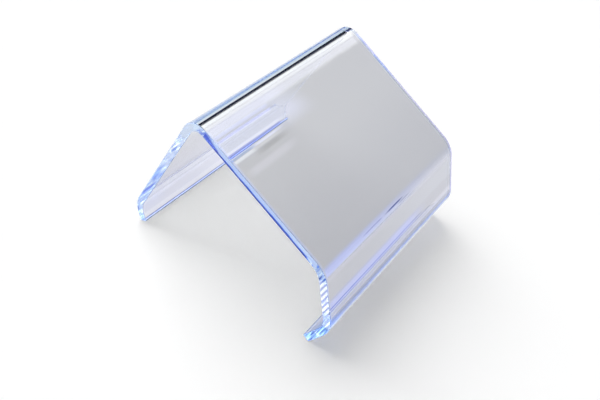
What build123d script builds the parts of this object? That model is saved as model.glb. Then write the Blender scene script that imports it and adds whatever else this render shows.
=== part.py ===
from build123d import *
import os
from math import atan2, degrees, radians

# One clear acrylic sheet, bent along four straight lines into a saddle for magazines.
# It stands on two cut edges: the end of the back lip and the end of the front lip.
# Frame: +X along the ridge, front towards -Y, +Z up, origin at the middle of the footprint.
# Lengths are in millimetres and angles in degrees.

# The sheet
sheet_thickness = 10.0
ridge_length = 300.0

# The five flats of the section, each from outer corner to outer corner
back_lip = 26.0
back_leg = 200.0
front_panel = 215.0
front_drop = 84.0
front_lip = 46.0

# The angle that the sheet turns through at each bend, starting from the back lip
back_lip_angle = 47.5
ridge_angle = 93.0
upper_front_angle = 45.5
lower_front_angle = 48.5

# A strip heater softens this much of the sheet for a bend, measured on its middle plane
heated_strip = 27.0

# Flame polishing rounds the corners of the two long cut edges and the rims of the two ends
long_edge_round = 1.4
end_rim_round = 0.8

flats = [back_lip, back_leg, front_panel, front_drop, front_lip]
bend_angles = [back_lip_angle, ridge_angle, upper_front_angle, lower_front_angle]


def outer_corners(first_heading):
    """The section's outer corners, walked from the end of the back lip with no bend rounded."""
    corner, heading = Vector(0, 0), first_heading
    corners = [corner]
    for flat, bend_angle in zip(flats, bend_angles + [0]):
        corner += Vector(flat, 0).rotate(Axis.Z, heading)
        corners.append(corner)
        heading -= bend_angle
    return corners


def outer_radius(bend_angle):
    """A softened strip of one width bends to a wider arc where it turns less."""
    return heated_strip / radians(bend_angle) + sheet_thickness / 2


def foot_centre(foot, knee, inner_side):
    """The centre of the rounded outer corner that a lip stands on."""
    along = (knee - foot).normalized()
    inward = along.rotate(Axis.Z, inner_side * 90)
    return foot + (along + inward) * long_edge_round


def level_heading():
    """The back lip's heading that puts both rounded feet on the floor."""
    corners = outer_corners(0)
    back_foot = foot_centre(corners[0], corners[1], -1)
    front_foot = foot_centre(corners[-1], corners[-2], 1)
    span = front_foot - back_foot
    return -degrees(atan2(span.Y, span.X))


def cut_corners(outside):
    """The four sharp corners of the section, two at each of the sheet's long cut edges."""
    for end in (0, 1):
        inward = (outside % end).rotate(Axis.Z, -90) * sheet_thickness
        yield outside @ end
        yield outside @ end + inward


def section():
    """The bent sheet cut across the ridge, as a face with its four corners rounded."""
    radii = [outer_radius(bend_angle) for bend_angle in bend_angles]
    outside = FilletPolyline(*outer_corners(level_heading()), radius=radii)
    face = make_face(offset(outside, amount=sheet_thickness, side=Side.RIGHT, closed=True))
    corners = [face.vertices().sort_by_distance(point)[0] for point in cut_corners(outside)]
    return fillet(corners, min(long_edge_round, 0.45 * sheet_thickness))


def bent_sheet():
    """The section run along the ridge, with both end rims rounded and the feet on the floor."""
    across = Plane(origin=(ridge_length / 2, 0, 0), x_dir=(0, -1, 0), z_dir=(-1, 0, 0))
    sheet = extrude(across * section(), amount=ridge_length, dir=(-1, 0, 0))
    ends = sheet.faces().filter_by(Axis.X)
    sheet = fillet(ends.edges(), min(end_rim_round, 0.8 * long_edge_round))
    box = sheet.bounding_box()
    return Pos(0, -box.center().Y, -box.min.Z) * sheet


os.makedirs("parts", exist_ok=True)
export_step(bent_sheet(), "parts/bent_sheet.step")
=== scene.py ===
from collections import namedtuple
from math import atan2, ceil, cos, pi, radians, sin, tan

import bpy
from mathutils import Matrix, Vector


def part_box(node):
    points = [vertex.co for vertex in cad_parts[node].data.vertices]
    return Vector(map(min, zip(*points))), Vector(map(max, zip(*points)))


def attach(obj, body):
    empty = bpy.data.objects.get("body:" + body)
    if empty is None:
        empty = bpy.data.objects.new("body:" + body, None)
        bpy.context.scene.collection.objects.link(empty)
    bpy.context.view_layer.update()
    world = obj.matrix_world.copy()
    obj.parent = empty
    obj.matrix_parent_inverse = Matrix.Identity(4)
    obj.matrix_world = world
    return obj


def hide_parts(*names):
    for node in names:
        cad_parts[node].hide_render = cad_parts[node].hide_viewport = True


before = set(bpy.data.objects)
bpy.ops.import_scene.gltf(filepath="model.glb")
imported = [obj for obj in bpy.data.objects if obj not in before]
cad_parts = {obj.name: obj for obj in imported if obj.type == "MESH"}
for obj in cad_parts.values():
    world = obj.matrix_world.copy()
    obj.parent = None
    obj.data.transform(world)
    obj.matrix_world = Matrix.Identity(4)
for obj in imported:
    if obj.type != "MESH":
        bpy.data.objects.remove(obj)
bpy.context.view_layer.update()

# A magazine saddle made of one clear acrylic sheet, bent along four straight lines.
# Lengths are in metres and angles in degrees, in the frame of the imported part:
# +X along the ridge, front towards -Y, +Z up, origin at the middle of the footprint.
# The skins are the sheet's broad sides, and the cuts its sawn ends at either end of the ridge. A run is the
# way along the outer skin from the back foot, and a depth is the way in from that skin.

sheet_low, sheet_high = (Vector(corner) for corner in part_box("bent_sheet"))

# The sheet's section: flats from outer corner to outer corner, the turn at each bend, and both in order
# from the back foot
sheet_thickness = 0.010
back_lip = 0.026
back_leg = 0.200
front_panel = 0.215
front_drop = 0.084
front_lip = 0.046
back_lip_angle = 47.5
ridge_angle = 93.0
upper_front_angle = 45.5
lower_front_angle = 48.5
flats = [back_lip, back_leg, front_panel, front_drop, front_lip]
bend_angles = [back_lip_angle, ridge_angle, upper_front_angle, lower_front_angle]
heated_strip = 0.027
long_edge_round = 0.0014
end_rim_round = 0.0008

# How finely the mesh follows the shape
bend_step = 1.5
flat_step = 0.008
ridge_step = 0.010
round_cells = 5
cut_cells = 8

# The camera
view_azimuth = -64.52
view_elevation = 43.72
view_roll = 14.85
view_distance = 0.9395
view_lens = 43.03
view_sensor = 36.0
view_aim = Vector((0.0, 0.001, 0.0314))

# The studio: key_azimuth is where the key stands, anticlockwise from +X
key_azimuth = 77.0
key_elevation = 46.0
key_spread = 55.0
key_level = 0.95
fill_level = 0.28
floor_pale = 0.75
floor_glow = 0.33
floor_reach = 2.6
floor_gap = 0.0002

# How light has come: mirrored, by a long way or by the longest when it has been mirrored more often than
# these, and unscattered when it has met fewer matt surfaces than the last. Both counts are whole.
mirrored_turns = 0.5
long_turns = 3.5
longest_turns = 14.5
no_scatter = 0.5

# The floor's painted colours through the skins: painted shade under the saddle's front and painted light
# behind it, and how much of what shows there they make up. The last two are for mirrored light alone.
through_share = 0.8
through_front = (0.59, 0.585, 0.60)
through_middle = (0.675, 0.67, 0.675)
through_behind = (0.86, 0.87, 1.0)
through_behind_near = (0.74, 0.745, 0.88)
through_open = (1.0, 1.0, 1.0)
through_before = (0.76, 0.78, 0.98)
through_beside = (0.50, 0.62, 0.92)

# Where each fades in or out along Y or X. The clear ones bound the open floor in front of the saddle and
# beside its near end for light that comes straight.
middle_y = (-0.07, 0.10)
behind_y = (0.11, 0.15)
behind_x = (0.17, 0.24)
behind_near_x = (-0.06, 0.03)
open_y = (0.20, 0.26)
before_y = (-0.22, -0.17)
beside_x = (-0.11, -0.08)
beside_y = (0.12, 0.14)
clear_y = (-0.30, -0.20)
clear_x = (-0.22, -0.12)

# The floor's painted colours as they come out at the cuts after a long way inside, painted light about the
# saddle and painted shade farther off in front: about the saddle, off its far end, and farther off in
# front, and where each fades in or out
cut_floor_near = (1.35, 1.25, 1.08)
cut_floor_off = (0.95, 0.92, 1.03)
cut_floor_front = (0.25, 0.35, 0.85)
cut_off_x = (0.22, 0.28)
cut_front_x = (0.34, 0.37)
cut_front_y = (-0.12, -0.09)

# The room that the skins mirror: blue, with a dark corner between two headings and two heights
room_blue = (0.12, 0.18, 0.38)
corner_headings = (25.0, 60.0)
corner_heights = (-20.0, 28.0)
corner_soft = 0.01

# The room as it comes out at the cuts: white and blue slats, and a shade over the longest ways
slat_white = (1.60, 1.45, 1.15)
slat_blue = (0.28, 0.42, 0.95)
slat_pitch = 10.0
slat_rise = (-0.9, 0.4)
shade_blue = (0.02, 0.08, 0.50)
shade_headings = (-42.0, 40.0)
shade_heights = (27.0, 54.0)
shade_soft = 0.02

# The softbox above the saddle's back, by its slopes from straight up, Y over Z and X over Z, and the
# lowest Z that counts in them
softbox_y = (-0.264, 0.7)
softbox_x = (0.0, 3.0)
softbox_soft = 0.006
softbox_lowest = 0.05
softbox_level = 2.4

# The acrylic: its tint at each face, what it takes out along a metre of the way, and how many turns of
# light are followed in it
acrylic_index = 1.50
face_tint = (0.97, 0.975, 0.98)
absorbed = (1.6, 0.9, 0.05)
absorb_density = 4.0
path_bounces = 64

# Where the looks hold: how far inside each end the cut's starts and is full, over which share of the
# thickness a skin's fades, and how far about the ridge's middle the near cut's does
cut_inside = (0.0004, 0.0001)
skin_soft = 0.1
middle_soft = 0.01

# Bands along the bends and panels: the run that each covers and the stretch of the ridge (rise, full,
# until and fall, in millimetres), its share at share_x's near and far place, and its colour. The tints are
# painted shade that takes light out: dark and blue lines standing in for reflections in the bends and for
# the back leg seen through, the black ridge line, and a painted shadow by the back leg. The glows are
# painted highlights and glow that add light. Both sit on the outer skin unless they are named inner.
share_x = (-0.13, 0.13)
whole = (-170.0, -160.0, 160.0, 170.0)
near_third = (-170.0, -160.0, -62.0, -56.0)
near_corner = (-170.0, -160.0, -120.0, -107.0)
# the stretch by the back leg where a painted shadow and a painted crescent of light lie
leg_shadow = (-122.0, -98.0, -84.0, -52.0)
near_rim = (-170.0, -160.0, -147.8, -146.8)
far_rim = (146.2, 147.2, 160.0, 170.0)
# Painted shade: dark lines and reflections in the bends, the black ridge line and the leg's painted shadow
painted_shade_bands = [
    ((212.5, 214.0, 217.0, 218.5), whole, (1.0, 0.6), (0.50, 0.60, 0.92)),
    ((219.0, 221.0, 223.0, 224.0), whole, (1.0, 1.0), (0.56, 0.77, 1.0)),
    ((224.0, 225.0, 227.3, 228.4), whole, (1.0, 1.0), (0.04, 0.04, 0.09)),
    ((270.8, 271.8, 274.0, 275.0), near_third, (1.0, -0.4), (0.36, 0.42, 0.95)),
    ((276.4, 277.2, 278.6, 279.6), near_corner, (1.0, 1.0), (0.53, 0.70, 1.0)),
    ((282.0, 285.0, 287.0, 291.0), leg_shadow, (1.0, 1.0), (0.66, 0.66, 0.64)),
    ((429.8, 430.6, 431.4, 432.2), (-76.0, -64.0, -36.0, -28.0), (1.0, 1.0), (0.45, 0.46, 0.60)),
    ((429.8, 430.5, 431.7, 432.4), (-28.0, -10.0, 8.0, 24.0), (1.0, 1.0), (0.03, 0.03, 0.10)),
    ((432.8, 433.5, 434.3, 435.0), (2.0, 12.0, 24.0, 40.0), (1.0, 1.0), (0.40, 0.40, 0.45)),
    ((478.0, 479.0, 480.2, 481.2), (-170.0, -160.0, 50.0, 72.0), (1.0, 0.7), (0.22, 0.26, 0.55)),
    ((491.0, 497.0, 500.0, 505.0), whole, (1.0, 0.5), (0.38, 0.48, 1.0)),
    ((523.0, 532.0, 538.0, 546.0), whole, (1.0, 0.75), (0.36, 0.44, 0.98)),
    ((518.0, 524.0, 548.0, 556.0), (-170.0, -160.0, -140.0, -122.0), (1.0, 1.0), (0.18, 0.30, 0.72)),
]
# Painted highlights and glow, added as emission: the ridge's highlight, lavender sheen along the bends, the
# crescent of light by the back leg
painted_glow_bands = [
    ((216.5, 217.5, 219.0, 220.5), whole, (0.5, 1.0), (0.0, 0.02, 0.14)),
    ((228.6, 229.4, 230.8, 232.5), whole, (1.0, 0.8), (0.18, 0.19, 0.17)),
    ((236.0, 238.0, 244.0, 247.0), whole, (1.0, 0.6), (0.01, 0.01, 0.05)),
    ((245.5, 247.0, 249.5, 251.0), near_third, (1.0, 0.2), (0.06, 0.07, 0.16)),
    ((251.5, 253.5, 255.0, 256.5), near_third, (1.0, 1.0), (0.11, 0.11, 0.25)),
    ((267.6, 268.8, 270.0, 271.4), near_third, (1.0, 0.0), (0.07, 0.07, 0.10)),
    ((273.6, 274.6, 276.0, 277.0), near_corner, (1.0, 1.0), (0.02, 0.05, 0.27)),
    ((276.4, 277.4, 278.6, 280.0), leg_shadow, (1.2, 0.2), (0.21, 0.22, 0.27)),
    ((279.2, 280.4, 281.8, 284.6), near_corner, (1.0, 1.0), (0.20, 0.22, 0.22)),
    ((279.4, 280.4, 281.4, 283.0), leg_shadow, (1.0, 1.0), (0.09, 0.09, 0.07)),
    ((293.5, 298.0, 301.0, 307.0), (-150.0, -130.0, -80.0, -50.0), (1.0, 1.0), (0.08, 0.075, 0.09)),
    ((422.0, 429.0, 433.0, 444.0), whole, (1.0, 0.1), (0.01, 0.05, 0.30)),
    ((435.0, 437.0, 441.0, 446.0), whole, (1.0, 0.7), (0.05, 0.05, 0.06)),
    ((442.0, 446.0, 464.0, 470.0), whole, (0.4, 1.0), (0.035, 0.04, 0.04)),
    ((464.0, 475.0, 479.0, 490.0), (-170.0, -160.0, 20.0, 80.0), (1.0, 0.9), (0.01, 0.04, 0.28)),
    ((482.5, 486.0, 490.0, 494.0), whole, (0.8, 1.0), (0.09, 0.085, 0.09)),
    ((497.0, 502.0, 504.0, 509.0), whole, (1.0, 1.0), (0.0, 0.04, 0.20)),
    ((504.0, 513.0, 521.0, 528.0), whole, (0.7, 1.0), (0.40, 0.43, 0.43)),
    ((521.0, 528.0, 532.0, 541.0), whole, (0.7, 1.0), (0.0, 0.02, 0.22)),
    ((236.0, 240.0, 500.0, 506.0), near_rim, (1.0, 1.0), (0.0, 0.03, 0.14)),
    ((236.0, 240.0, 522.0, 530.0), far_rim, (1.0, 1.0), (0.05, 0.05, 0.24)),
]
# Painted shade on the inner skin: dark blue lines standing in for reflections
inner_painted_shade = [
    ((2.8, 3.4, 4.6, 5.4), whole, (1.0, 0.7), (0.10, 0.12, 0.42)),
    ((550.6, 551.8, 555.6, 556.6), whole, (1.0, 1.0), (0.06, 0.08, 0.26)),
]
# Painted highlights and glow on the inner skin
inner_painted_glows = [
    ((0.9, 1.4, 2.7, 3.2), whole, (1.0, 1.0), (0.38, 0.42, 0.72)),
    ((5.5, 8.0, 11.0, 14.0), whole, (1.0, 1.0), (0.07, 0.07, 0.06)),
    ((528.0, 534.0, 546.0, 550.0), near_corner, (1.0, 1.0), (0.08, 0.06, 0.04)),
]

# What the near cut shows, painted as reflections and glow that stand in for light carried along the sheet:
# run and depth (rise, full, until and fall, in millimetres), how far a streak leans along the run for its
# depth, the leaned run that it keeps to, and its colour
whole_run = (-900.0, -800.0, 800.0, 900.0)
whole_depth = (-3.0, -2.0, 12.0, 13.0)
cut_painted_reflections = [
    ((-9.0, -8.0, 10.0, 24.0), whole_depth, 0.0, whole_run, (0.34, 0.44, 0.78)),
    (whole_run, (0.2, 1.4, 7.5, 9.2), 3.4, (9.0, 12.5, 17.5, 21.0), (0.18, 0.22, 0.55)),
    (whole_run, (0.2, 1.4, 6.5, 8.5), 3.4, (25.0, 27.0, 28.5, 30.5), (0.40, 0.46, 0.66)),
    (whole_run, (0.1, 0.7, 7.5, 9.0), 4.4, (38.0, 42.0, 54.0, 60.0), (0.11, 0.15, 0.55)),
    ((80.0, 92.0, 108.0, 130.0), (0.0, 0.9, 4.5, 7.5), 0.0, whole_run, (0.15, 0.24, 0.66)),
    ((118.0, 134.0, 212.0, 222.0), whole_depth, 0.0, whole_run, (0.88, 0.80, 0.80)),
    ((225.0, 230.0, 236.0, 237.6), (3.6, 6.5, 12.0, 13.0), 0.0, whole_run, (0.22, 0.28, 0.74)),
    (whole_run, (0.5, 1.5, 8.0, 9.5), -1.3, (233.6, 234.4, 235.2, 236.0), (0.14, 0.20, 0.66)),
    ((236.6, 238.0, 258.0, 268.0), whole_depth, 5.1, (-600.0, -500.0, 228.0, 231.5), (0.04, 0.08, 0.58)),
    ((260.0, 268.0, 409.0, 413.0), (7.3, 8.1, 9.7, 10.4), 0.0, whole_run, (0.10, 0.20, 0.75)),
    ((417.0, 422.0, 436.0, 444.0), whole_depth, 0.0, whole_run, (0.54, 0.63, 0.80)),
    ((438.0, 446.0, 482.0, 490.0), whole_depth, 0.0, whole_run, (1.0, 0.93, 0.76)),
    ((484.0, 492.0, 506.0, 514.0), whole_depth, 0.0, whole_run, (0.48, 0.52, 0.82)),
    ((506.0, 512.0, 528.0, 535.0), whole_depth, 0.0, whole_run, (0.10, 0.19, 0.55)),
    ((529.0, 535.0, 800.0, 900.0), whole_depth, 0.0, whole_run, (0.10, 0.18, 0.48)),
    ((508.0, 511.5, 517.0, 521.0), (1.0, 2.2, 4.0, 5.8), 0.0, whole_run, (0.06, 0.16, 0.60)),
]
# Painted glow on the near cut, added as emission
cut_painted_glows = [
    ((262.0, 272.0, 409.0, 413.0), (5.6, 6.4, 7.2, 8.0), 0.0, whole_run, (0.01, 0.05, 0.17)),
    ((436.0, 446.0, 482.0, 490.0), whole_depth, 0.0, whole_run, (0.31, 0.28, 0.20)),
]

# The painted hatching on the front drop's cut, a painted reflection of light carried inside, in
# millimetres:
# its run, its lean for its depth, its pitch, how far the clouds bend it, where in each wave a line starts
# and is full, and its colour
hatch_run = (431.0, 436.0, 485.0, 492.0)
hatch_lean = 1.1
hatch_pitch = 8.2
hatch_drift = 3.0
hatch_rise = (0.0, 0.6)
painted_hatch_blue = (0.01, 0.04, 0.30)

# How far the bands wander, and the skin's and the cuts' fine relief and dullness
wander_size = 0.0007
wander_scale = 22.0
ripple_height = 0.000012
ripple_scale = 45.0
saw_pitch = 0.0012
saw_height = 0.0000012
saw_drift = 9.0
hairline_scale = 900.0
skin_rough = 0.012
cut_rough = 0.05

black = (0.0, 0.0, 0.0)
white = (1.0, 1.0, 1.0)

# The mesh as it grows, and what the acrylic's material knows of a point on it
Shell = namedtuple("Shell", "points normals marks faces")
Spots = namedtuple("Spots", "x plain_run run depth outer inner cut near_cut")


# ---------------------------------------------------------------- the sheet's shape

def turned(vector, angle):
    """A flat vector turned anticlockwise, in degrees."""
    return Matrix.Rotation(radians(angle), 2) @ vector


def outer_corners(first_heading):
    """The section's outer corners, walked from the end of the back lip with no bend rounded."""
    corner, heading = Vector((0.0, 0.0)), first_heading
    corners = [corner]
    for flat, angle in zip(flats, [*bend_angles, 0.0]):
        corner = corner + turned(Vector((flat, 0.0)), heading)
        corners.append(corner)
        heading -= angle
    return corners


def foot_centre(foot, knee, inner_side):
    """The centre of the rounded outer corner that a lip stands on."""
    along = (knee - foot).normalized()
    inward = turned(along, inner_side * 90)
    return foot + (along + inward) * long_edge_round


def level_heading():
    """The back lip's heading that puts both rounded feet on the floor."""
    corners = outer_corners(0.0)
    back_foot = foot_centre(corners[0], corners[1], -1)
    front_foot = foot_centre(corners[-1], corners[-2], 1)
    span = front_foot - back_foot
    return -atan2(span.y, span.x) * 180 / pi


def evenly(start, end, step):
    """Points from start to end, both counted, at most one step apart."""
    count = max(1, ceil((end - start).length / step))
    return [start.lerp(end, i / count) for i in range(count + 1)]


def outer_line():
    """Points of the outer skin with their outward normals, from the back foot to the front foot."""
    corners = outer_corners(level_heading())
    line, start = [], corners[0]
    for i, angle in enumerate(bend_angles):
        before, corner, after = corners[i:i + 3]
        radius = heated_strip / radians(angle) + sheet_thickness / 2
        reach = radius * tan(radians(angle) / 2)
        along = (corner - before).normalized()
        normal = turned(along, 90)
        arc_start = corner - along * reach
        line += [(point, normal) for point in evenly(start, arc_start, flat_step)]
        centre = arc_start - normal * radius
        turns = ceil(angle / bend_step)
        for turn in range(1, turns):
            spoke = turned(normal, -angle * turn / turns)
            line.append((centre + spoke * radius, spoke))
        start = corner + (after - corner).normalized() * reach
    normal = turned((corners[-1] - start).normalized(), 90)
    line += [(point, normal) for point in evenly(start, corners[-1], flat_step)]
    return line


def rounded_end(line, inset, backwards):
    """Stations over one rounded long edge: outer point, inner point and their normals."""
    foot, normal = line[-1] if backwards else line[0]
    inward = turned(normal, 90 if backwards else -90)
    middle = foot - normal * sheet_thickness / 2
    radius = long_edge_round - inset
    flat_half = sheet_thickness / 2 - long_edge_round
    swept = []
    for i in range(round_cells + 1):
        swing = radians(90 * i / round_cells)
        back = inward * (long_edge_round - radius * cos(swing))
        half = flat_half + radius * sin(swing)
        tilt = normal * sin(swing)
        outer = (middle + back + normal * half, (tilt - inward * cos(swing)).normalized())
        inner = (middle + back - normal * half, (-tilt - inward * cos(swing)).normalized())
        swept.append((outer, inner))
    return swept[::-1] if backwards else swept


def stations(line, inset):
    """The whole section as pairs of an outer and an inner point, drawn in by the inset."""
    first = rounded_end(line, inset, False)
    last = rounded_end(line, inset, True)
    middle = []
    for point, normal in line[1:-1]:
        outer = (point - normal * inset, normal)
        inner = (point - normal * (sheet_thickness - inset), -normal)
        middle.append((outer, inner))
    return first + middle + last


def crossing(station):
    """Points across the sheet's thickness at one station, both skins counted."""
    (outer, _), (inner, _) = station
    return [outer.lerp(inner, i / cut_cells) for i in range(cut_cells + 1)]


def section_ring(line, inset):
    """The closed outline as points with normals: outer skin, front edge, inner skin, back edge."""
    pairs = stations(line, inset)
    ring = [outer for outer, _ in pairs]
    front = turned(line[-1][1], -90)
    ring += [(point, front) for point in crossing(pairs[-1])[1:-1]]
    ring += [inner for _, inner in reversed(pairs)]
    back = turned(line[0][1], 90)
    ring += [(point, back) for point in reversed(crossing(pairs[0])[1:-1])]
    return ring


def pair_runs(line):
    """The run of each pair of the section."""
    runs, run = [], 0.0
    for (before, _), (point, _) in zip(line, line[1:]):
        run += (point - before).length
        runs.append(run)
    return [0.0] * (round_cells + 1) + runs[:-1] + [run] * (round_cells + 1)


def ring_marks(line):
    """For each point of the outline, its run and its share of the way from the inner to the outer skin."""
    runs = pair_runs(line)
    across = [1 - j / cut_cells for j in range(1, cut_cells)]
    marks = [(run, 1.0) for run in runs]
    marks += [(runs[-1], share) for share in across]
    marks += [(run, 0.0) for run in reversed(runs)]
    marks += [(0.0, share) for share in reversed(across)]
    return marks


def ring_places():
    """Each ring's place along X, its inset, and how far its normals lean towards the end."""
    places = []
    for i in range(round_cells + 1):
        swing = radians(90 * i / round_cells)
        inset = end_rim_round * (1 - sin(swing))
        places.append((sheet_low.x + end_rim_round * (1 - cos(swing)), inset, -cos(swing)))
    inner_low = sheet_low.x + end_rim_round
    inner_high = sheet_high.x - end_rim_round
    count = ceil((inner_high - inner_low) / ridge_step)
    for i in range(1, count):
        places.append((inner_low + (inner_high - inner_low) * i / count, 0.0, 0.0))
    for x, inset, lean in reversed(places[:round_cells + 1]):
        places.append((sheet_low.x + sheet_high.x - x, inset, -lean))
    return places


def placed(line):
    """The shift that sets the section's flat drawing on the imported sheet's box."""
    ring = section_ring(line, 0.0)
    left = min(point.x for point, _ in ring)
    right = max(point.x for point, _ in ring)
    low = min(point.y for point, _ in ring)
    middle = (sheet_low.y + sheet_high.y) / 2
    return middle + (left + right) / 2, sheet_low.z - low


def add_point(shell, place, normal, mark):
    """One more point of the mesh, and its number."""
    shell.points.append(place)
    shell.normals.append(normal)
    shell.marks.append(mark)
    return len(shell.points) - 1


def add_rings(shell, line, shift):
    """The outlines along the ridge, joined by quads, and their points' numbers."""
    shift_y, shift_z = shift
    marks = ring_marks(line)
    rings = []
    for x, inset, lean in ring_places():
        flat = (1 - lean * lean) ** 0.5
        ring = []
        for (point, normal), mark in zip(section_ring(line, inset), marks):
            place = (x, shift_y - point.x, shift_z + point.y)
            ring.append(add_point(shell, place, (lean, -normal.x * flat, normal.y * flat), mark))
        rings.append(ring)
    for near, far in zip(rings, rings[1:]):
        for i in range(len(near)):
            j = (i + 1) % len(near)
            shell.faces.append((near[i], near[j], far[j], far[i]))
    return rings


def close_end(shell, line, ring, x, side, shift):
    """A grid of quads over the cut at one end of the ridge."""
    shift_y, shift_z = shift
    pairs = stations(line, end_rim_round)
    rows = []
    # the ring holds the outer points, the front edge's, the inner ones backwards, and the back edge's
    for i, (pair, run) in enumerate(zip(pairs, pair_runs(line))):
        across = crossing(pair)
        row = [ring[i]]
        for j in range(1, cut_cells):
            if i == len(pairs) - 1:
                row.append(ring[len(pairs) + j - 1])
            elif i == 0:
                row.append(ring[len(ring) - j])
            else:
                place = (x, shift_y - across[j].x, shift_z + across[j].y)
                row.append(add_point(shell, place, (side, 0.0, 0.0), (run, 1 - j / cut_cells)))
        row.append(ring[2 * len(pairs) + cut_cells - 2 - i])
        rows.append(row)
    for row, following in zip(rows, rows[1:]):
        for j in range(cut_cells):
            quad = (row[j], row[j + 1], following[j + 1], following[j])
            shell.faces.append(quad if side < 0 else quad[::-1])


def add_object(name, data):
    """A new object in the scene."""
    made = bpy.data.objects.new(name, data)
    bpy.context.collection.objects.link(made)
    return made


def make_sheet():
    """The closed, smooth sheet, with its true normals, and each point's marks kept on it."""
    line = outer_line()
    shift = placed(line)
    shell = Shell([], [], [], [])
    rings = add_rings(shell, line, shift)
    close_end(shell, line, rings[0], sheet_low.x, -1, shift)
    close_end(shell, line, rings[-1], sheet_high.x, 1, shift)
    mesh = bpy.data.meshes.new("clear_sheet")
    mesh.from_pydata(shell.points, [], shell.faces)
    mesh.polygons.foreach_set("use_smooth", [True] * len(mesh.polygons))
    mesh.normals_split_custom_set_from_vertices(shell.normals)
    for name, values in zip(("run", "outside"), zip(*shell.marks)):
        mesh.attributes.new(name, "FLOAT", "POINT").data.foreach_set("value", values)
    mesh.update()
    return add_object("clear_sheet", mesh)


# ---------------------------------------------------------------- node helpers

def new_material(name):
    """An empty node material, its tree and its output."""
    material = bpy.data.materials.new(name)
    material.use_nodes = True
    tree = material.node_tree
    tree.nodes.clear()
    return material, tree, tree.nodes.new("ShaderNodeOutputMaterial")


def attribute(tree, name):
    """A number stored on the mesh."""
    node = tree.nodes.new("ShaderNodeAttribute")
    node.attribute_name = name
    return node.outputs["Fac"]


def separated(tree, vector):
    """A vector's three numbers."""
    node = tree.nodes.new("ShaderNodeSeparateXYZ")
    tree.links.new(vector, node.inputs[0])
    return node.outputs


def calculate(tree, operation, *values):
    """One Math node fed by sockets and numbers."""
    node = tree.nodes.new("ShaderNodeMath")
    node.operation = operation
    for socket, value in zip(node.inputs, values):
        if isinstance(value, (int, float)):
            socket.default_value = value
        else:
            tree.links.new(value, socket)
    return node.outputs[0]


def product(tree, first, *others):
    """The first number times each of the others in turn."""
    for other in others:
        first = calculate(tree, "MULTIPLY", first, other)
    return first


def faded(tree, value, start, end, first, last):
    """A smooth change from one number to another while the value goes from start to end."""
    node = tree.nodes.new("ShaderNodeMapRange")
    node.interpolation_type = "SMOOTHSTEP"
    for name, number in (("From Min", start), ("From Max", end), ("To Min", first), ("To Max", last)):
        node.inputs[name].default_value = number
    tree.links.new(value, node.inputs["Value"])
    return node.outputs[0]


def rising(tree, value, edges):
    """0 up to the first edge, and smoothly up to 1 at the second."""
    return faded(tree, value, *edges, 0.0, 1.0)


def falling(tree, value, edges):
    """1 up to the first edge, and smoothly down to 0 at the second."""
    return faded(tree, value, *edges, 1.0, 0.0)


def window(tree, value, edges):
    """1 between the middle two of four edges in millimetres, fading to 0 at the outer two."""
    rise, full, until, fall = (edge / 1000 for edge in edges)
    return product(tree, rising(tree, value, (rise, full)), falling(tree, value, (until, fall)))


def box_mask(tree, across, across_sides, along, along_sides, soft):
    """1 between the two sides of each of two values, fading to 0 over a soft edge."""
    shares = []
    for value, (low, high) in ((across, across_sides), (along, along_sides)):
        shares.append(rising(tree, value, (low - soft, low + soft)))
        shares.append(falling(tree, value, (high - soft, high + soft)))
    return product(tree, *shares)


def mottled(tree, position, scale, detail):
    """Cloudy noise, from 0 to 1."""
    noise = tree.nodes.new("ShaderNodeTexNoise")
    noise.inputs["Scale"].default_value = scale
    noise.inputs["Detail"].default_value = detail
    tree.links.new(position, noise.inputs["Vector"])
    return noise.outputs["Fac"]


def waved(tree, value, pitch, cloud, drift):
    """A sine along a value, by its pitch in metres, bent this way and that by a cloud."""
    turn = calculate(tree, "MULTIPLY", value, 2 * pi / pitch)
    bend = calculate(tree, "MULTIPLY", cloud, drift)
    return calculate(tree, "SINE", calculate(tree, "ADD", turn, bend))


def blended(tree, share, first, last):
    """A colour between two, each a socket or a plain colour, by a share from 0 to 1."""
    node = tree.nodes.new("ShaderNodeMix")
    node.data_type = "RGBA"
    tree.links.new(share, node.inputs[0])
    for socket, colour in zip(node.inputs[6:8], (first, last)):
        if isinstance(colour, tuple):
            socket.default_value = (*colour, 1)
        else:
            tree.links.new(colour, socket)
    return node.outputs[2]


def both_shaders(tree, first, second):
    """Two shaders added up."""
    node = tree.nodes.new("ShaderNodeAddShader")
    tree.links.new(first.outputs[0], node.inputs[0])
    tree.links.new(second.outputs[0], node.inputs[1])
    return node


def chosen_shader(tree, share, first, second):
    """One shader where the share is 0 and another where it is 1."""
    node = tree.nodes.new("ShaderNodeMixShader")
    tree.links.new(share, node.inputs["Fac"])
    tree.links.new(first.outputs[0], node.inputs[1])
    tree.links.new(second.outputs[0], node.inputs[2])
    return node


def unscattered(tree, path):
    """1 for light that has met no matt surface."""
    return calculate(tree, "LESS_THAN", path.outputs["Diffuse Depth"], no_scatter)


def turned_more(tree, path, turns):
    """1 for light that has been mirrored more often than this."""
    return calculate(tree, "GREATER_THAN", path.outputs["Glossy Depth"], turns)


def by_way(tree, path):
    """1 for light that comes by way of gloss or glass and has met no matt surface."""
    gloss, glass = path.outputs["Is Glossy Ray"], path.outputs["Is Transmission Ray"]
    return product(tree, calculate(tree, "MAXIMUM", gloss, glass), unscattered(tree, path))


# ---------------------------------------------------------------- the acrylic

def banded(tree, spots, skin, bands, colour):
    """A colour changed by each painted band in turn on one skin, within its run and its stretch of the
    ridge.
    """
    for run_edges, x_edges, (near, far), band_colour in bands:
        across = window(tree, spots.run, run_edges)
        along = window(tree, spots.x, x_edges)
        level = faded(tree, spots.x, *share_x, near, far)
        colour = blended(tree, product(tree, across, along, level, skin), colour, band_colour)
    return colour


def leaned_run(tree, spots, lean):
    """The run, drawn back by a lean for each step of depth."""
    return calculate(tree, "SUBTRACT", spots.run, product(tree, spots.depth, lean))


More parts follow.
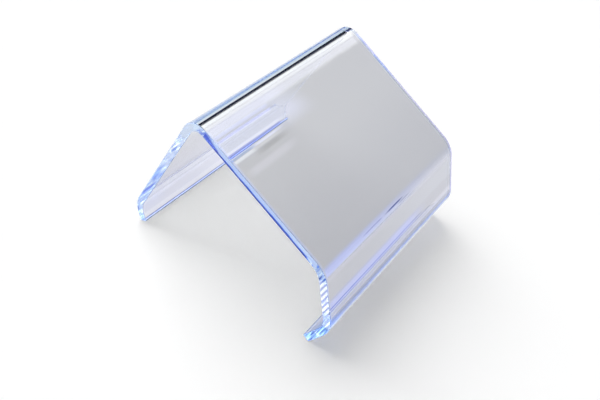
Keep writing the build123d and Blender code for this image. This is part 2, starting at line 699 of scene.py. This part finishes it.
def streaked(tree, spots, streaks, colour):
    """A colour changed by each painted streak of the near cut in turn, within its run, its depth and its
    lean.
    """
    for run_edges, depth_edges, lean, lean_edges, streak_colour in streaks:
        shares = [window(tree, spots.run, run_edges), window(tree, spots.depth, depth_edges)]
        if lean:
            shares.append(window(tree, leaned_run(tree, spots, lean), lean_edges))
        colour = blended(tree, product(tree, *shares, spots.near_cut), colour, streak_colour)
    return colour


def painted_hatching(tree, spots, cloud, colour):
    """A colour with uneven blue hatching painted on the front drop's cut, a painted reflection of light
    inside.
    """
    wave = waved(tree, leaned_run(tree, spots, hatch_lean), hatch_pitch / 1000, cloud, hatch_drift)
    stretch = window(tree, spots.run, hatch_run)
    lines = product(tree, rising(tree, wave, hatch_rise), stretch, spots.near_cut)
    return blended(tree, lines, colour, painted_hatch_blue)


def wandering(tree, run, position):
    """The run, wandering a little to each side as heat draws the sheet."""
    shift = calculate(tree, "SUBTRACT", mottled(tree, position, wander_scale, 0.0), 0.5)
    return calculate(tree, "ADD", run, product(tree, shift, wander_size))


def sheet_spots(tree, position):
    """Where a point is: along the ridge and the section, below the outer skin, and on skin or cut."""
    x, _, _ = separated(tree, position)
    run = attribute(tree, "run")
    side = attribute(tree, "outside")
    depth = product(tree, calculate(tree, "SUBTRACT", 1.0, side), sheet_thickness)
    end = calculate(tree, "ABSOLUTE", x)
    cut = rising(tree, end, [sheet_high.x - inside for inside in cut_inside])
    skin = calculate(tree, "SUBTRACT", 1.0, cut)
    outer = product(tree, skin, rising(tree, side, (1 - skin_soft, 1.0)))
    inner = product(tree, skin, falling(tree, side, (0.0, skin_soft)))
    near_cut = product(tree, cut, falling(tree, x, (-middle_soft, middle_soft)))
    return Spots(x, run, wandering(tree, run, position), depth, outer, inner, cut, near_cut)


def tint_and_painted_shade(tree, spots, cloud):
    """The tint of the clear surface, with the painted shade and reflections that the skins and the near cut
    take out.
    """
    tint = banded(tree, spots, spots.outer, painted_shade_bands, face_tint)
    tint = banded(tree, spots, spots.inner, inner_painted_shade, tint)
    tint = streaked(tree, spots, cut_painted_reflections, tint)
    return painted_hatching(tree, spots, cloud, tint)


def sheet_painted_glow(tree, spots, place):
    """The painted highlights and glow that the skins and the near cut add as emission, for unscattered
    light from the air.
    """
    glow = banded(tree, spots, spots.outer, painted_glow_bands, black)
    glow = banded(tree, spots, spots.inner, inner_painted_glows, glow)
    glow = streaked(tree, spots, cut_painted_glows, glow)
    path = tree.nodes.new("ShaderNodeLightPath")
    front = calculate(tree, "SUBTRACT", unscattered(tree, path), place.outputs["Backfacing"])
    return blended(tree, calculate(tree, "MAXIMUM", front, 0.0), black, glow)


def worked_surface(tree, spots, position, cloud):
    """The skin's faint ripple, the saw's fine marks on the cut ends, and how dull each is."""
    mark = waved(tree, spots.plain_run, saw_pitch, cloud, saw_drift)
    mark = product(tree, mark, saw_height, spots.cut)
    ripple = product(tree, cloud, ripple_height)
    bump = tree.nodes.new("ShaderNodeBump")
    bump.inputs["Distance"].default_value = 1.0
    tree.links.new(calculate(tree, "ADD", mark, ripple), bump.inputs["Height"])
    hairline = mottled(tree, position, hairline_scale, 1.0)
    most = faded(tree, spots.cut, 0.0, 1.0, skin_rough, cut_rough)
    return bump.outputs["Normal"], product(tree, hairline, most)


def clear_acrylic():
    """Cast acrylic: clear through its thickness, blue along its length, with painted shade, reflections and
    glow in bands.
    """
    material, tree, output = new_material("clear_acrylic")
    place = tree.nodes.new("ShaderNodeNewGeometry")
    position = place.outputs["Position"]
    spots = sheet_spots(tree, position)
    cloud = mottled(tree, position, ripple_scale, 1.0)
    relief, dullness = worked_surface(tree, spots, position, cloud)

    shader = tree.nodes.new("ShaderNodeBsdfPrincipled")
    # Base Color carries the painted shade and reflections, and Emission Color the painted highlights and
    # glow
    tree.links.new(tint_and_painted_shade(tree, spots, cloud), shader.inputs["Base Color"])
    tree.links.new(sheet_painted_glow(tree, spots, place), shader.inputs["Emission Color"])
    tree.links.new(relief, shader.inputs["Normal"])
    tree.links.new(dullness, shader.inputs["Roughness"])
    shader.inputs["Emission Strength"].default_value = 1.0
    shader.inputs["Transmission Weight"].default_value = 1
    shader.inputs["IOR"].default_value = acrylic_index
    tree.links.new(shader.outputs["BSDF"], output.inputs["Surface"])

    taken = tree.nodes.new("ShaderNodeVolumeAbsorption")
    kept = [1 - share / absorb_density for share in absorbed]
    taken.inputs["Color"].default_value = (*kept, 1)
    taken.inputs["Density"].default_value = absorb_density
    tree.links.new(taken.outputs["Volume"], output.inputs["Volume"])
    return material


# ---------------------------------------------------------------- floor, light and camera

def painted_floor_by_skins(tree, x, y, mirrored):
    """The floor as the skins show it, with painted shade darkest under the tent's front and white in the
    open.
    """
    behind = product(tree, rising(tree, y, behind_y), falling(tree, x, behind_x))
    near = falling(tree, x, behind_near_x)
    clear = calculate(tree, "MAXIMUM", falling(tree, y, clear_y), falling(tree, x, clear_x))
    clear = product(tree, clear, calculate(tree, "SUBTRACT", 1.0, mirrored))
    away = calculate(tree, "MAXIMUM", rising(tree, y, open_y), clear)
    before = product(tree, falling(tree, y, before_y), mirrored)
    beside = product(tree, falling(tree, x, beside_x), falling(tree, y, beside_y), mirrored)
    behind_colour = blended(tree, near, through_behind, through_behind_near)
    colour = blended(tree, rising(tree, y, middle_y), through_front, through_middle)
    colour = blended(tree, behind, colour, behind_colour)
    colour = blended(tree, away, colour, through_open)
    colour = blended(tree, before, colour, through_before)
    return blended(tree, beside, colour, through_beside)


def painted_floor_by_cuts(tree, x, y):
    """The floor's painted light and shade as they come out at the cuts, after many turns inside."""
    colour = blended(tree, rising(tree, x, cut_off_x), cut_floor_near, cut_floor_off)
    front = product(tree, rising(tree, x, cut_front_x), falling(tree, y, cut_front_y))
    return blended(tree, front, colour, cut_floor_front)


def painted_floor_through(tree, path):
    """The floor's painted shade and light, by position, for light that comes by way of the acrylic."""
    place = tree.nodes.new("ShaderNodeNewGeometry")
    x, y, _ = separated(tree, place.outputs["Position"])
    by_skins = painted_floor_by_skins(tree, x, y, turned_more(tree, path, mirrored_turns))
    return blended(tree, turned_more(tree, path, long_turns), by_skins, painted_floor_by_cuts(tree, x, y))


def floor_white():
    """A matt pale floor, lifted to white for the camera, with painted shade and light by way of the
    acrylic.
    """
    material, tree, output = new_material("floor_white")
    path = tree.nodes.new("ShaderNodeLightPath")
    matt = tree.nodes.new("ShaderNodeBsdfDiffuse")
    matt.inputs["Color"].default_value = (floor_pale, floor_pale, floor_pale, 1)
    glow = tree.nodes.new("ShaderNodeEmission")
    tree.links.new(product(tree, path.outputs["Is Camera Ray"], floor_glow), glow.inputs["Strength"])
    # the painted shade and light that the acrylic shows of the floor
    through = tree.nodes.new("ShaderNodeEmission")
    tree.links.new(painted_floor_through(tree, path), through.inputs["Color"])
    share = product(tree, by_way(tree, path), through_share)
    surface = chosen_shader(tree, share, both_shaders(tree, matt, glow), through)
    tree.links.new(surface.outputs[0], output.inputs["Surface"])
    return material


def make_floor():
    """A wide floor just under the saddle's feet."""
    mesh = bpy.data.meshes.new("floor")
    ways = ((-1, -1), (1, -1), (1, 1), (-1, 1))
    mesh.from_pydata([(x * floor_reach, y * floor_reach, 0) for x, y in ways], [], [(0, 1, 2, 3)])
    mesh.materials.append(floor_white())
    floor = add_object("floor", mesh)
    floor.location.z = sheet_low.z - floor_gap


def make_key():
    """A broad soft light from high behind the saddle, equally strong over the whole floor."""
    lamp = bpy.data.lights.new("key", "SUN")
    lamp.angle = radians(key_spread)
    lamp.energy = pi * key_level
    light = add_object("key", lamp)
    light.rotation_euler = (0, radians(90 - key_elevation), radians(key_azimuth))


def room_box(tree, heading, z, headings, heights, soft):
    """1 in the stretch of the room between two headings and two heights, in degrees."""
    sides = [radians(side) for side in headings]
    levels = [sin(radians(height)) for height in heights]
    return box_mask(tree, heading, sides, z, levels, soft)


def room_colour(tree, path, long, x, y, z):
    """The room about the saddle: white straight through, blue in the skins, slatted out of the cuts."""
    heading = calculate(tree, "ARCTAN2", y, x)
    corner = room_box(tree, heading, z, corner_headings, corner_heights, corner_soft)
    by_skins = blended(tree, corner, room_blue, black)
    slat = calculate(tree, "SINE", calculate(tree, "MULTIPLY", heading, 360 / slat_pitch))
    by_cuts = blended(tree, rising(tree, slat, slat_rise), slat_blue, slat_white)
    shade = room_box(tree, heading, z, shade_headings, shade_heights, shade_soft)
    shade = product(tree, shade, turned_more(tree, path, longest_turns))
    by_cuts = blended(tree, shade, by_cuts, shade_blue)
    colour = blended(tree, long, by_skins, by_cuts)
    return blended(tree, turned_more(tree, path, mirrored_turns), white, colour)


def softbox_strength(tree, path, long, x, y, z):
    """The softbox above the saddle's back, left out for the camera and for light out of the cuts."""
    above = calculate(tree, "MAXIMUM", z, softbox_lowest)
    across = calculate(tree, "DIVIDE", y, above)
    along = calculate(tree, "DIVIDE", x, above)
    box = box_mask(tree, across, softbox_y, along, softbox_x, softbox_soft)
    left_out = calculate(tree, "MAXIMUM", path.outputs["Is Camera Ray"], long)
    return product(tree, box, calculate(tree, "SUBTRACT", 1.0, left_out), softbox_level)


def make_world():
    """Even studio fill, white to the eye, with a blue room and one softbox in the reflections."""
    world = bpy.data.worlds.new("studio")
    bpy.context.scene.world = world
    world.use_nodes = True
    tree = world.node_tree
    tree.nodes.clear()
    output = tree.nodes.new("ShaderNodeOutputWorld")
    path = tree.nodes.new("ShaderNodeLightPath")
    direction = tree.nodes.new("ShaderNodeTexCoord")
    x, y, z = separated(tree, direction.outputs["Generated"])
    long = turned_more(tree, path, long_turns)
    fill = tree.nodes.new("ShaderNodeBackground")
    fill.inputs["Strength"].default_value = fill_level
    room = tree.nodes.new("ShaderNodeBackground")
    tree.links.new(room_colour(tree, path, long, x, y, z), room.inputs["Color"])
    softbox = tree.nodes.new("ShaderNodeBackground")
    tree.links.new(softbox_strength(tree, path, long, x, y, z), softbox.inputs["Strength"])
    seen = calculate(tree, "MAXIMUM", path.outputs["Is Camera Ray"], by_way(tree, path))
    surface = chosen_shader(tree, seen, fill, both_shaders(tree, room, softbox))
    tree.links.new(surface.outputs[0], output.inputs["Surface"])


def make_camera():
    """The camera, turned about the saddle."""
    data = bpy.data.cameras.new("camera")
    data.lens = view_lens
    data.sensor_width = view_sensor
    camera = add_object("camera", data)
    facing = (Matrix.Rotation(radians(view_azimuth), 4, "Z")
              @ Matrix.Rotation(radians(90 - view_elevation), 4, "X"))
    back = facing @ Vector((0, 0, 1))
    place = Matrix.Translation(view_aim + back * view_distance)
    camera.matrix_world = place @ facing @ Matrix.Rotation(radians(view_roll), 4, "Z")
    bpy.context.scene.camera = camera


sheet = make_sheet()
sheet.data.materials.append(clear_acrylic())
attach(sheet, "root")
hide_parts("bent_sheet")

make_floor()
make_key()
make_world()
make_camera()
bpy.context.scene.view_settings.view_transform = "Standard"
bpy.context.scene.cycles.max_bounces = path_bounces
bpy.context.scene.cycles.glossy_bounces = path_bounces
bpy.context.scene.cycles.transmission_bounces = path_bounces
